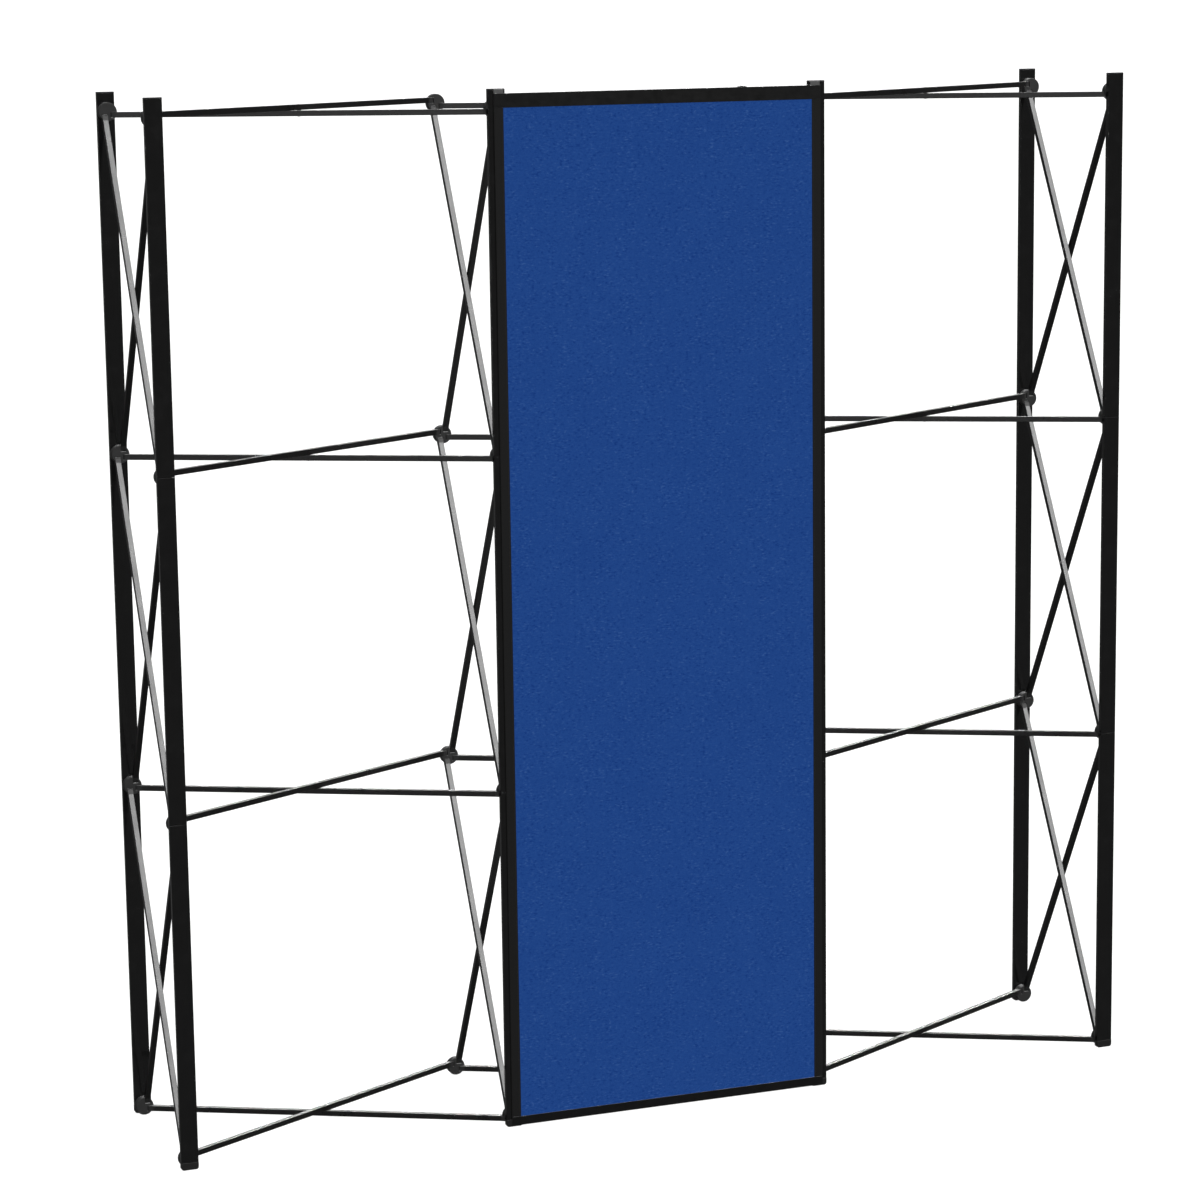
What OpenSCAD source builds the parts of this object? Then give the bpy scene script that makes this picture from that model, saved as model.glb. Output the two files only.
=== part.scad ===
// Pop-up exhibition partition wall: a scissor frame of square tubes and disc hubs,
// six flat bars held to the hubs by magnets, and one fabric panel hung on two bars.
// +Z is up, +X is across the wall, and -Y is the panel's side. The origin is on the
// floor under the middle of the wall. Columns and levels count from 1, from the left
// and from the floor.

/* [Wall] */
// Distance between neighbouring hub columns
bay_w = 735; // [600:5:900]
// Distance between neighbouring hub levels
row_h = 735; // [600:5:900]
// Clear depth between the front hubs and the back hubs
inner_depth = 372; // [300:1:450]

/* [Hubs] */
// Diameter of a hub disc
hub_d = 40; // [40:1:60]
// Thickness of a hub disc
hub_t = 17.5; // [17:0.5:30]
// Chamfer on a hub's two rims
hub_chamfer = 1.2; // [0.4:0.2:2]
// Distance from a hub's centre to each of its hinge pins
pin_offset = 12; // [12:0.5:13]
// Depth of a hinge pin behind a hub's inner face
pin_depth = 5; // [4:0.5:6]
// Diameter of a hinge pin
pin_d = 3; // [2:0.5:4]
// Length of a pin seated in the hub at each end
pin_seat = 1.5; // [1:0.5:2.5]
// Depth of a strut slot in a hub
slot_depth = 12; // [12:0.5:12.5]
// Diameter of a hub magnet
magnet_d = 16; // [10:1:24]
// Thickness of a hub magnet
magnet_t = 4; // [2:0.5:4]

/* [Struts] */
// Outside width of a square strut tube
tube_w = 12; // [8:0.5:12]
// Wall of a strut tube
tube_wall = 1; // [0.8:0.1:2]
// Distance from a hinge pin to the tube's end
tube_setback = 9; // [7:0.5:14]
// Length of an end plug inside its tube
plug_grip = 16; // [8:1:30]
// Diameter of a crossing rivet
rivet_d = 3.2; // [2:0.2:4]
// Diameter of a rivet head
rivet_head_d = 6.4; // [5:0.2:8]
// Height of a rivet head
rivet_head_t = 1.2; // [0.8:0.2:2]
// Thickness of the washer between two crossing tubes
washer_t = 1; // [0.6:0.1:2]
// Diameter of that washer
washer_d = 9.6; // [6:0.2:12]

/* [Bars] */
// Width of a flat bar
bar_w = 38; // [30:1:50]
// Depth of a flat bar
bar_t = 12; // [8:0.5:20]
// Wall of a flat bar
bar_wall = 1; // [0.8:0.1:2]
// Radius along the edges of a flat bar
bar_edge_r = 1.5; // [0.5:0.5:3]
// Height of the bars above the centre of the top hubs
bar_rise = 42; // [30:1:80]
// Length of the joiner inside a bar's seam
joiner_l = 120; // [60:5:200]
// Thickness of a bar's top cap
cap_t = 3; // [2:0.5:8]
// Height of a bar's foot cap
foot_h = 16; // [12:1:40]
// Radius of the foot cap's lower corners
foot_r = 6; // [2:0.5:10]
// Length of a cap's plug inside the bar
cap_grip = 14; // [8:1:30]

/* [Panel] */
// How far the panel reaches past the centre of each bar that carries it
panel_reach = 6.5; // [1:0.5:12]
// Gap between the panel and the floor
panel_lift = 3; // [1:1:40]
// Distance from the top of the bars down to the top of the panel
panel_drop = 10; // [6:1:20]
// Thickness of the fabric face
fabric_t = 0.8; // [0.5:0.1:2]
// Thickness of the backing sheet
backing_t = 1; // [0.5:0.1:3]
// Thickness of the magnetic strips
strip_t = 1.5; // [1:0.1:3]
// Width of the magnetic strips
strip_w = 18; // [10:1:20]
// Width of the side binding
binding_w = 20; // [10:1:40]
// Thickness of the side binding
binding_t = 0.6; // [0.4:0.1:1]
// Height of the top rail
top_rail_h = 30; // [20:1:50]
// Height of the bottom rail
bottom_rail_h = 20; // [12:1:50]
// Thickness of the rails' front leaf
rail_t = 1.2; // [0.8:0.1:2]
// Width of a hanger tab
tab_w = 22; // [14:1:24]
// Length of a hanger tab below the top of the panel
tab_l = 26; // [16:1:40]
// Height of a hanger tab above the top of the panel
tab_rise = 9; // [4:1:14]
// Thickness of a hanger tab
tab_t = 1.2; // [0.8:0.1:1.4]

/* [Clearances] */
// Gap on each side of a strut eye in its hub slot
slot_gap = 0.2; // [0.1:0.05:0.5]
// Gap between a pin or rivet and the part that turns on it
turn_gap = 0.1; // [0.05:0.05:0.3]
// Gap between a strut eye's round end and the inner end of its slot
eye_gap = 0.5; // [0.3:0.1:1]
// Gap around a part that is pushed into another
push_gap = 0.05; // [0.05:0.05:0.2]
// Gap between pieces that part from one another
part_gap = 0.3; // [0.2:0.1:1]
// Gap at a bar's seams
seam_gap = 0.4; // [0.2:0.1:1]

/* [Hidden] */
$fn = 48;
bays = 3;
rows = 3;
cols = bays + 1;
levels = rows + 1;
back_bar_cols = [1, cols];
panel_bay = 2;
// How far a cut runs past the face it opens
over = 0.5;

// Hub centres, hub faces and bar faces
function hub_x(col) = (col - 1 - bays / 2) * bay_w;
function hub_z(level) = hub_d / 2 + (level - 1) * row_h;
panel_stack = part_gap + strip_t + backing_t + fabric_t + max(binding_t, rail_t);
mid_y = panel_stack / 2;
front_y = mid_y - inner_depth / 2;
back_y = mid_y + inner_depth / 2;
bar_seat = hub_t + part_gap;
front_bar_y = front_y - bar_seat - bar_t / 2;
back_bar_y = back_y + bar_seat + bar_t / 2;
bar_top = hub_z(levels) + bar_rise;

// The two lanes in which crossing struts pass each other, and the strut lengths
lane = (tube_w + washer_t) / 2;
slot_w = tube_w + 2 * slot_gap;
slot_inner = pin_offset - tube_w / 2 - eye_gap;
pin_l = slot_w + 2 * pin_seat;
pin_span_y = inner_depth + 2 * pin_depth;
pin_span_x = bay_w - 2 * pin_offset;
pin_span_z = row_h - 2 * pin_offset;
flat_l = norm([pin_span_x, pin_span_y]);
flat_turn = atan2(pin_span_y, pin_span_x);
upright_l = norm([pin_span_z, pin_span_y]);
upright_lean = atan2(pin_span_y, pin_span_z);

// The panel's layers, from the bar's face outwards, and its ends
panel_back = front_bar_y - bar_t / 2 - part_gap;
backing_back = panel_back - strip_t;
fabric_back = backing_back - backing_t;
fabric_face = fabric_back - fabric_t;
panel_x = (hub_x(panel_bay) + hub_x(panel_bay + 1)) / 2;
panel_left = panel_x - bay_w / 2 - panel_reach;
panel_right = panel_x + bay_w / 2 + panel_reach;
panel_bottom = panel_lift;
panel_top = bar_top - panel_drop;

function names(stem, count) = [for (i = [1:count]) str(stem, i)];
function pair_names(stem, second, m, n) = [for (i = [1:m], j = [1:n]) str(stem, i, second, j)];

// ---- Places: each module puts its children where one strut, hub or crossing lies ----

// A flat strut's first pin is at the origin and the strut runs along +X, its lane along Z.
module at_rising_flat(level, bay)
    translate([hub_x(bay) + pin_offset, front_y - pin_depth, hub_z(level) + lane])
        rotate([0, 0, flat_turn]) children();

module at_falling_flat(level, bay)
    translate([hub_x(bay) + pin_offset, back_y + pin_depth, hub_z(level) - lane])
        rotate([0, 0, -flat_turn]) children();

// An upright strut starts at its lower pin, and its lane lies along X.
module at_backward_upright(col, row)
    translate([hub_x(col) - lane, front_y - pin_depth, hub_z(row) + pin_offset])
        rotate([-upright_lean, 0, 0]) rotate([0, -90, 0]) children();

module at_forward_upright(col, row)
    translate([hub_x(col) + lane, back_y + pin_depth, hub_z(row) + pin_offset])
        rotate([upright_lean, 0, 0]) rotate([0, -90, 0]) children();

module at_both_ends(length) {
    children();
    translate([length, 0, 0]) rotate([0, 0, 180]) children();
}

module at_every_strut_end() {
    for (level = [1:levels], bay = [1:bays]) {
        at_rising_flat(level, bay) at_both_ends(flat_l) children();
        at_falling_flat(level, bay) at_both_ends(flat_l) children();
    }
    for (col = [1:cols], row = [1:rows]) {
        at_backward_upright(col, row) at_both_ends(upright_l) children();
        at_forward_upright(col, row) at_both_ends(upright_l) children();
    }
}

// Every crossing, with the crossing's axis turned onto Z
module at_every_crossing() {
    for (level = [1:levels], bay = [1:bays])
        translate([hub_x(bay) + bay_w / 2, mid_y, hub_z(level)]) children();
    for (col = [1:cols], row = [1:rows])
        translate([hub_x(col), mid_y, hub_z(row) + row_h / 2]) rotate([0, 90, 0]) children();
}

module at_front_hub(col, level)
    translate([hub_x(col), front_y, hub_z(level)]) children();

module at_back_hub(col, level)
    translate([hub_x(col), back_y, hub_z(level)]) rotate([0, 0, 180]) children();

// ---- Hubs ----

// A disc of the hub's axis: its inner face is at y = 0 and it reaches towards -Y.
module hub_disc() {
    r = hub_d / 2;
    c = hub_chamfer;
    rotate([90, 0, 0]) rotate_extrude()
        polygon([[0, 0], [r - c, 0], [r, c], [r, hub_t - c], [r - c, hub_t], [0, hub_t]]);
}

module hub_slot() {
    translate([slot_inner, -slot_depth, lane - slot_w / 2])
        cube([hub_d, slot_depth + over, slot_w]);
    translate([pin_offset, -pin_depth, lane])
        cylinder(d = pin_d + 2 * push_gap, h = pin_l, center = true);
}

module magnet_disc(gap)
    translate([0, -hub_t + magnet_t, 0]) rotate([90, 0, 0])
        cylinder(d = magnet_d + 2 * gap, h = magnet_t + (gap > 0 ? over : 0));

// The turns of a hub's slots: one towards each neighbour that it has. right_turn is 0 on a
// front hub and 180 on a back hub, which is turned to face it.
function slot_turns(col, level, right_turn) = concat(
    col < cols ? [right_turn] : [],
    level < levels ? [90] : [],
    col > 1 ? [180 - right_turn] : [],
    level > 1 ? [270] : []
);

// Slots in a pinwheel, so that up to four struts pass the centre without touching
module hub(turns)
    difference() {
        hub_disc();
        for (turn = turns)
            rotate([0, -turn, 0]) hub_slot();
        magnet_disc(push_gap);
    }

module front_hubs(col)
    color("#262626") for (level = [1:levels])
        at_front_hub(col, level) hub(slot_turns(col, level, 0));

module back_hubs(col)
    color("#262626") for (level = [1:levels])
        at_back_hub(col, level) hub(slot_turns(col, level, 180));

module hub_magnets()
    color("silver") for (col = [1:cols], level = [1:levels]) {
        at_front_hub(col, level) magnet_disc(0);
        at_back_hub(col, level) magnet_disc(0);
    }

module hub_hinge_pins()
    color("silver") at_every_strut_end()
        cylinder(d = pin_d, h = pin_l, center = true);

// ---- Struts ----

module strut_tube(length) {
    run = length - 2 * tube_setback;
    bore = tube_w - 2 * tube_wall;
    difference() {
        translate([tube_setback, -tube_w / 2, -tube_w / 2]) cube([run, tube_w, tube_w]);
        translate([tube_setback - over, -bore / 2, -bore / 2]) cube([run + 2 * over, bore, bore]);
        translate([length / 2, 0, 0])
            cylinder(d = rivet_d + 2 * turn_gap, h = tube_w + 2 * over, center = true);
    }
}

// A rounded eye that turns in the hub slot, with a plug inside the tube
module end_plug() {
    grip_w = tube_w - 2 * tube_wall - 2 * push_gap;
    difference() {
        union() {
            cylinder(d = tube_w, h = tube_w, center = true);
            translate([0, -tube_w / 2, -tube_w / 2]) cube([tube_setback, tube_w, tube_w]);
            translate([0, -grip_w / 2, -grip_w / 2]) cube([tube_setback + plug_grip, grip_w, grip_w]);
        }
        cylinder(d = pin_d + 2 * turn_gap, h = tube_w + 2 * over, center = true);
    }
}

module flat_struts(level, bay)
    color("#3a3a3a") {
        at_rising_flat(level, bay) strut_tube(flat_l);
        at_falling_flat(level, bay) strut_tube(flat_l);
    }

module upright_struts(col, row)
    color("#3a3a3a") {
        at_backward_upright(col, row) strut_tube(upright_l);
        at_forward_upright(col, row) strut_tube(upright_l);
    }

module strut_end_plugs()
    color("#1c1c1c") at_every_strut_end() end_plug();

module rivet() {
    grip = 2 * tube_w + washer_t;
    cylinder(d = rivet_d, h = grip + 2 * rivet_head_t, center = true);
    for (side = [0, 180])
        rotate([side, 0, 0]) translate([0, 0, grip / 2]) cylinder(d = rivet_head_d, h = rivet_head_t);
}

module crossing_rivets()
    color("silver") at_every_crossing() rivet();

module crossing_washers()
    color("#1c1c1c") at_every_crossing() difference() {
        cylinder(d = washer_d, h = washer_t, center = true);
        cylinder(d = rivet_d + 2 * turn_gap, h = washer_t + 2 * over, center = true);
    }

// ---- Bars ----

// A rectangle with round corners, built so that its corners stay true arcs
module round_rect(w, h, r) {
    square([w - 2 * r, h], center = true);
    square([w, h - 2 * r], center = true);
    for (x = [-1, 1], y = [-1, 1])
        translate([x * (w / 2 - r), y * (h / 2 - r)]) circle(r = r);
}

module bar_bore_fill(z, length) {
    w = bar_w - 2 * bar_wall - 2 * push_gap;
    t = bar_t - 2 * bar_wall - 2 * push_gap;
    translate([-w / 2, -t / 2, z]) cube([w, t, length]);
}

// One section of bar from z to z + length
module bar_section(z, length)
    translate([0, 0, z]) linear_extrude(length)
        difference() {
            round_rect(bar_w, bar_t, bar_edge_r);
            square([bar_w - 2 * bar_wall, bar_t - 2 * bar_wall], center = true);
        }

// A bar breaks into one section for each row, at the hubs, whose magnets hold both ends.
module bar()
    for (row = [1:rows]) {
        low = row == 1 ? foot_h : hub_z(row) + seam_gap / 2;
        high = row == rows ? bar_top - cap_t : hub_z(row + 1) - seam_gap / 2;
        bar_section(low, high - low);
    }

module top_cap() {
    translate([0, 0, bar_top - cap_t]) linear_extrude(cap_t) round_rect(bar_w, bar_t, bar_edge_r);
    bar_bore_fill(bar_top - cap_t - cap_grip, cap_grip + cap_t / 2);
}

// The foot's outline, seen from the front, with its two lower corners round
module foot_outline() {
    translate([-bar_w / 2, foot_r]) square([bar_w, foot_h - foot_r]);
    translate([-bar_w / 2 + foot_r, 0]) square([bar_w - 2 * foot_r, foot_h]);
    for (x = [-1, 1])
        translate([x * (bar_w / 2 - foot_r), foot_r]) circle(r = foot_r);
}

module foot_cap() {
    rotate([90, 0, 0]) linear_extrude(bar_t, center = true) foot_outline();
    bar_bore_fill(foot_h / 2, foot_h / 2 + cap_grip);
}

module bar_fittings() {
    top_cap();
    foot_cap();
    for (row = [2:rows])
        bar_bore_fill(hub_z(row) - joiner_l / 2, joiner_l);
}

module front_bar(col)
    color("#181818") translate([hub_x(col), front_bar_y, 0]) bar();

module front_bar_fittings(col)
    color("#101010") translate([hub_x(col), front_bar_y, 0]) bar_fittings();

module back_bar(col)
    color("#181818") translate([hub_x(col), back_bar_y, 0]) bar();

module back_bar_fittings(col)
    color("#101010") translate([hub_x(col), back_bar_y, 0]) bar_fittings();

// ---- Panel ----

// A sheet whose back is at y, between two heights and two sides
module sheet(left, right, y, t, low, high)
    translate([left, y - t, low]) cube([right - left, t, high - low]);

module panel_backing()
    color("#d8d8d8")
        sheet(panel_left, panel_right, backing_back, backing_t, panel_bottom + rail_t, panel_top - rail_t);

module panel_fabric()
    color("#204282")
        sheet(panel_left, panel_right, fabric_back, fabric_t, panel_bottom + rail_t, panel_top - rail_t);

module panel_side_binding()
    color("#161616") for (left = [panel_left, panel_right - binding_w])
        sheet(left, left + binding_w, fabric_face, binding_t,
            panel_bottom + bottom_rail_h, panel_top - top_rail_h);

// A rail's front leaf, its edge, and its back leaf between the strips and tabs
module rail(low, high, edge_low) {
    inset = max(tab_w, strip_w) + part_gap;
    sheet(panel_left, panel_right, fabric_face, rail_t, low, high);
    sheet(panel_left, panel_right, backing_back, backing_t + fabric_t + rail_t, edge_low, edge_low + rail_t);
    sheet(panel_left + inset, panel_right - inset, panel_back, strip_t, low, high);
}

module panel_top_rail()
    color("#161616") rail(panel_top - top_rail_h, panel_top, panel_top - rail_t);

module panel_bottom_rail()
    color("#161616") rail(panel_bottom, panel_bottom + bottom_rail_h, panel_bottom);

module panel_magnet_strips()
    color("#303030") for (left = [panel_left, panel_right - strip_w])
        sheet(left, left + strip_w, panel_back, strip_t, panel_bottom, panel_top - tab_l - part_gap);

module panel_hanger_tabs()
    color("#707070") for (left = [panel_left, panel_right - tab_w])
        sheet(left, left + tab_w, panel_back, tab_t, panel_top - tab_l, panel_top + tab_rise);

// ---- Assembly ----

for (col = [1:cols]) {
    front_hubs(col);
    back_hubs(col);
    front_bar(col);
    front_bar_fittings(col);
}
for (level = [1:levels], bay = [1:bays])
    flat_struts(level, bay);
for (col = [1:cols], row = [1:rows])
    upright_struts(col, row);
for (col = back_bar_cols) {
    back_bar(col);
    back_bar_fittings(col);
}
strut_end_plugs();
hub_hinge_pins();
crossing_rivets();
crossing_washers();
hub_magnets();
panel_backing();
panel_fabric();
panel_side_binding();
panel_top_rail();
panel_bottom_rail();
panel_magnet_strips();
panel_hanger_tabs();
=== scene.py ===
# %% [markdown]
# # A pop-up exhibition wall
# A scissor frame of square tubes stands three bays wide and three rows high. Magnets in its
# hubs hold six flat gloss bars, and one fabric panel hangs on the two middle bars. The packed
# model gives every place and size in metres, and this script gives the wall its looks: rounded
# edges, moulded and drawn finishes, a woven binding with its stitches, and looped cloth.

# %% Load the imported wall
from math import cos, pi, radians, sin, sqrt

import bmesh
import bpy
from mathutils import Matrix, Vector


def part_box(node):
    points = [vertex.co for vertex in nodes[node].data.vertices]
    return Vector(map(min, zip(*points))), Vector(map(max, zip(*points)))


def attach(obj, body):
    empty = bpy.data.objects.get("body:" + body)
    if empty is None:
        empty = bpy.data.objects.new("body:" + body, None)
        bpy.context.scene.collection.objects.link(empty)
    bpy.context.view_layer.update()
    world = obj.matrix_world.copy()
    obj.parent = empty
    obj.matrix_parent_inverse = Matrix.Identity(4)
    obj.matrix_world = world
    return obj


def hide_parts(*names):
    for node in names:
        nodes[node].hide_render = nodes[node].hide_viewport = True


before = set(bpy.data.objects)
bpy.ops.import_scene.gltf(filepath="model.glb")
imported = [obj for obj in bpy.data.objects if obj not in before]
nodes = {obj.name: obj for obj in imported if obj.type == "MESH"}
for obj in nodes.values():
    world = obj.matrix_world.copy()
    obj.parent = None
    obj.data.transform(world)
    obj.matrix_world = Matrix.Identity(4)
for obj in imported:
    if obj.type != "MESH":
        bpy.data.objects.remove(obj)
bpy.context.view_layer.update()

scene = bpy.context.scene
MM = 0.001

# %% [markdown]
# ## Camera
# A camera looks along its own -Z with +Y up. It stands to the left of the wall, a little higher
# than its top, and looks slightly down, through a long lens so that the columns stay nearly
# parallel. Its three turns are yaw about the vertical, pitch below the horizon, and a small roll.
# Writing the axes out keeps the order of the turns plain, which three Euler angles would hide.

# %% Camera
CAMERA_AT = Vector((-2.8335, -7.274, 2.5126))
YAW, PITCH, ROLL = radians(20.807), radians(-10.131), radians(-0.768)
LENS, SENSOR, FARTHEST = 106.1, 36, 5000

ahead = Vector((sin(YAW) * cos(PITCH), cos(YAW) * cos(PITCH), sin(PITCH)))
level_right = Vector((cos(YAW), -sin(YAW), 0))
level_up = level_right.cross(ahead)
right = cos(ROLL) * level_right + sin(ROLL) * level_up
up = cos(ROLL) * level_up - sin(ROLL) * level_right

camera = bpy.data.objects.new("camera", bpy.data.cameras.new("camera"))
scene.collection.objects.link(camera)
facing = Matrix((right, up, -ahead)).transposed().to_4x4()
camera.matrix_world = Matrix.Translation(CAMERA_AT) @ facing
camera.data.lens = LENS
camera.data.sensor_width = SENSOR
camera.data.clip_end = FARTHEST
scene.camera = camera
print("camera looks along", [round(v, 3) for v in ahead])

# %% [markdown]
# ## Writing materials as sums
# A material is a net of nodes. Reading it is easier when the sums look like sums, so a Wire holds
# one output socket, and Python's own signs on it add Math nodes. The method node() adds any other
# node: its settings come first, because a Math node's operation or a Mix node's type decides which
# sockets it has, and then the values or links of its inputs.

# %% Wires
class Wire:
    """One output socket of a node tree, which Python's signs can work on."""

    def __init__(self, tree, socket=None):
        self.tree = tree
        self.socket = socket

    def node(self, kind, settings=(), inputs=(), output=0):
        made = self.tree.nodes.new(kind)
        for name, value in dict(settings).items():
            if name == "stops":
                ramp = made.color_ramp
                while len(ramp.elements) < len(value):
                    ramp.elements.new(1)
                for element, (position, tone) in zip(ramp.elements, value):
                    element.position = position
                    element.color = (tone, tone, tone, 1)
            else:
                setattr(made, name, value)
        for name, value in dict(inputs).items():
            if isinstance(value, Wire):
                self.tree.links.new(value.socket, made.inputs[name])
            else:
                made.inputs[name].default_value = value
        return Wire(self.tree, made.outputs[output])

    def math(self, operation, *values):
        return self.node("ShaderNodeMath", {"operation": operation}, enumerate(values))

    def __add__(self, other):
        return self.math("ADD", self, other)

    def __sub__(self, other):
        return self.math("SUBTRACT", self, other)

    def __rsub__(self, other):
        return self.math("SUBTRACT", other, self)

    def __mul__(self, other):
        return self.math("MULTIPLY", self, other)

    __radd__ = __add__
    __rmul__ = __mul__

    def mix(self, low, high):
        """The colour low where this wire is 0 and high where it is 1."""
        return self.node("ShaderNodeMix", {"data_type": "RGBA"}, {0: self, 6: low, 7: high}, 2)

    def ramp(self, *stops):
        """This wire through a grey ramp of (position, value) stops."""
        return self.node("ShaderNodeValToRGB", {"stops": stops}, {"Fac": self})


def grey(value):
    return (value, value, value, 1)


# %% [markdown]
# ## Starting a finish
# Every finish is one Principled shader. Numbers that are the same everywhere go straight on its
# sockets, and only what changes over the surface is wired. The patterns read Object coordinates:
# each piece's origin is the wall's origin, so they are metres, and a pattern has its true scale.

# %% A finish and its patterns
class Finish:
    """A material with one Principled shader, and the patterns that feed it."""

    def __init__(self, name, **fixed):
        self.material = bpy.data.materials.new(name)
        self.material.use_nodes = True
        tree = self.material.node_tree
        self.shader = tree.nodes["Principled BSDF"]
        self.pen = Wire(tree)
        self.place = self.pen.node("ShaderNodeTexCoord", output="Object")
        for socket, value in fixed.items():
            self.shader.inputs[socket.replace("_", " ")].default_value = value

    def stretched(self, scale):
        """The object's coordinates times a scale for each axis, to draw a pattern out."""
        return self.pen.node("ShaderNodeMapping", {}, {"Vector": self.place, "Scale": scale})

    def noise(self, grain, detail=2.0, roughness=0.5, across=None):
        """Smooth noise whose blots are about grain metres wide."""
        inputs = {"Scale": 1 / grain, "Detail": detail, "Roughness": roughness}
        inputs["Vector"] = across or self.place
        return self.pen.node("ShaderNodeTexNoise", {}, inputs, "Fac")

    def feed(self, **wires):
        for socket, wire in wires.items():
            self.pen.tree.links.new(wire.socket, self.shader.inputs[socket.replace("_", " ")])

    def bump(self, height, depth, strength=1.0):
        """Tilts the surface by a height field of 0 to 1, whose full height is depth metres."""
        inputs = {"Height": height, "Distance": depth, "Strength": strength}
        self.feed(Normal=self.pen.node("ShaderNodeBump", {}, inputs))


# %% [markdown]
# ## Moulded hubs and caps
# The hubs are glass-filled nylon from a spark-eroded mould: nearly black, with a fine pebbled skin
# that blurs what it mirrors. Two noises make it, one for the pebbles and a wide one for the slight
# cloudiness where hands have polished the skin. The struts' end plugs are moulded like the hubs,
# and the caps and washers have the same skin, darker.

# %% Moulded black finishes
PEBBLE, PEBBLE_DEPTH, HANDLED_PATCH = 0.5 * MM, 0.06 * MM, 22 * MM


def moulded(name, tone, shine, specular):
    skin = Finish(name, Specular_IOR_Level=specular)
    pebbles = skin.noise(PEBBLE, detail=3)
    handled = skin.noise(HANDLED_PATCH, detail=4)
    skin.feed(
        Base_Color=(handled * 0.7 + pebbles * 0.3).mix(grey(tone * 0.7), grey(tone * 1.35)),
        Roughness=shine + (handled - 0.5) * 0.25 + (pebbles - 0.5) * 0.1,
    )
    skin.bump(pebbles, PEBBLE_DEPTH, strength=0.7)
    return skin.material


hub_plastic = moulded("hub_plastic_finish", tone=0.021, shine=0.52, specular=0.3)
cap_plastic = moulded("cap_plastic_finish", tone=0.008, shine=0.42, specular=0.45)
print("moulded finishes", hub_plastic.name, cap_plastic.name)

# %% [markdown]
# ## Struts
# The struts are drawn aluminium tube, anodised black. Anodising keeps the metal's fine draw lines
# and gives a satin face that throws back a strong light as one broad pale band. The tubes run in
# four directions, so the grain is left even rather than drawn out, and light rubbing shows as
# slightly duller blots.

# %% Anodised strut finish
GRAIN, GRAIN_DEPTH, RUBBED_PATCH = 0.35 * MM, 0.02 * MM, 45 * MM

anodised = Finish("strut_tube_finish", Specular_IOR_Level=0.5)
fine_grain = anodised.noise(GRAIN, detail=2)
rubbing = anodised.noise(RUBBED_PATCH, detail=5, roughness=0.6)
anodised.feed(
    Base_Color=(rubbing * 0.8 + fine_grain * 0.2).mix(grey(0.0012), grey(0.0048)),
    Roughness=0.3 + (rubbing - 0.5) * 0.18 + (fine_grain - 0.5) * 0.06,
)
anodised.bump(fine_grain, GRAIN_DEPTH, strength=0.5)
strut_black = anodised.material
print("strut finish", strut_black.name)

# %% [markdown]
# ## Bars
# The bars are the wall's smooth face: extruded strip with a gloss black lacquer. Real lacquer is
# never a perfect mirror. It has a slight orange peel a few millimetres across, faint lines left by
# the extrusion that run the bar's whole height, and a film of dust and fingerprints that lifts the
# roughness in soft patches. The lines are noise stretched forty times along Z.

# %% Gloss lacquer finish
PEEL, PEEL_DEPTH, PRINT_PATCH = 2.4 * MM, 0.018 * MM, 35 * MM
DRAW_LINE, DRAWN_OUT = 1.1 * MM, (1, 1, 0.025)

lacquer = Finish("bar_gloss_finish", Specular_IOR_Level=0.4, Coat_Roughness=0.04)
orange_peel = lacquer.noise(PEEL, detail=1)
draw_lines = lacquer.noise(DRAW_LINE, detail=2, across=lacquer.stretched(DRAWN_OUT))
fingerprints = lacquer.noise(PRINT_PATCH, detail=5, roughness=0.65).ramp((0.45, 0), (0.75, 1))
lacquer.feed(
    Base_Color=(fingerprints * 0.6 + draw_lines * 0.4).mix(grey(0.0035), grey(0.0068)),
    Roughness=0.13 + fingerprints * 0.16 + (draw_lines - 0.5) * 0.05,
    Coat_Weight=0.3 - fingerprints * 0.2,
)
lacquer.bump(orange_peel * 0.7 + draw_lines * 0.3, PEEL_DEPTH, strength=0.35)
bar_gloss = lacquer.material
print("bar finish", bar_gloss.name)


# %% [markdown]
# ## Metal
# Three metals show in small places: zinc on the pins and rivets, nickel on the magnets, and grey
# spring steel in the hanger tabs. Each is fully metallic, so it shows little but what it mirrors,
# and the difference lies in tone and roughness. Zinc has a crystal spangle, and the steel has
# rolling lines across the tab.

# %% Metal finishes
STAIN, SPANGLE_DEPTH = 6 * MM, 0.012 * MM


def plated(name, tone, shine, spangle, across=(1, 1, 1)):
    metal = Finish(name, Metallic=1.0)
    crystals = metal.noise(spangle, detail=4, across=metal.stretched(across))
    stains = metal.noise(STAIN, detail=3)
    metal.feed(
        Base_Color=(crystals * 0.5 + stains * 0.5).mix(grey(tone * 0.72), grey(tone * 1.2)),
        Roughness=shine + (crystals - 0.5) * 0.16 + (stains - 0.5) * 0.1,
    )
    metal.bump(crystals, SPANGLE_DEPTH, strength=0.4)
    return metal.material


zinc = plated("pin_steel_finish", tone=0.45, shine=0.34, spangle=0.6 * MM)
nickel = plated("magnet_steel_finish", tone=0.55, shine=0.2, spangle=1.5 * MM)
spring_steel = plated(
    "tab_steel_finish", tone=0.25, shine=0.38, spangle=0.5 * MM, across=(0.05, 1, 1)
)
print("metal finishes", zinc.name, nickel.name, spring_steel.name)
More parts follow.
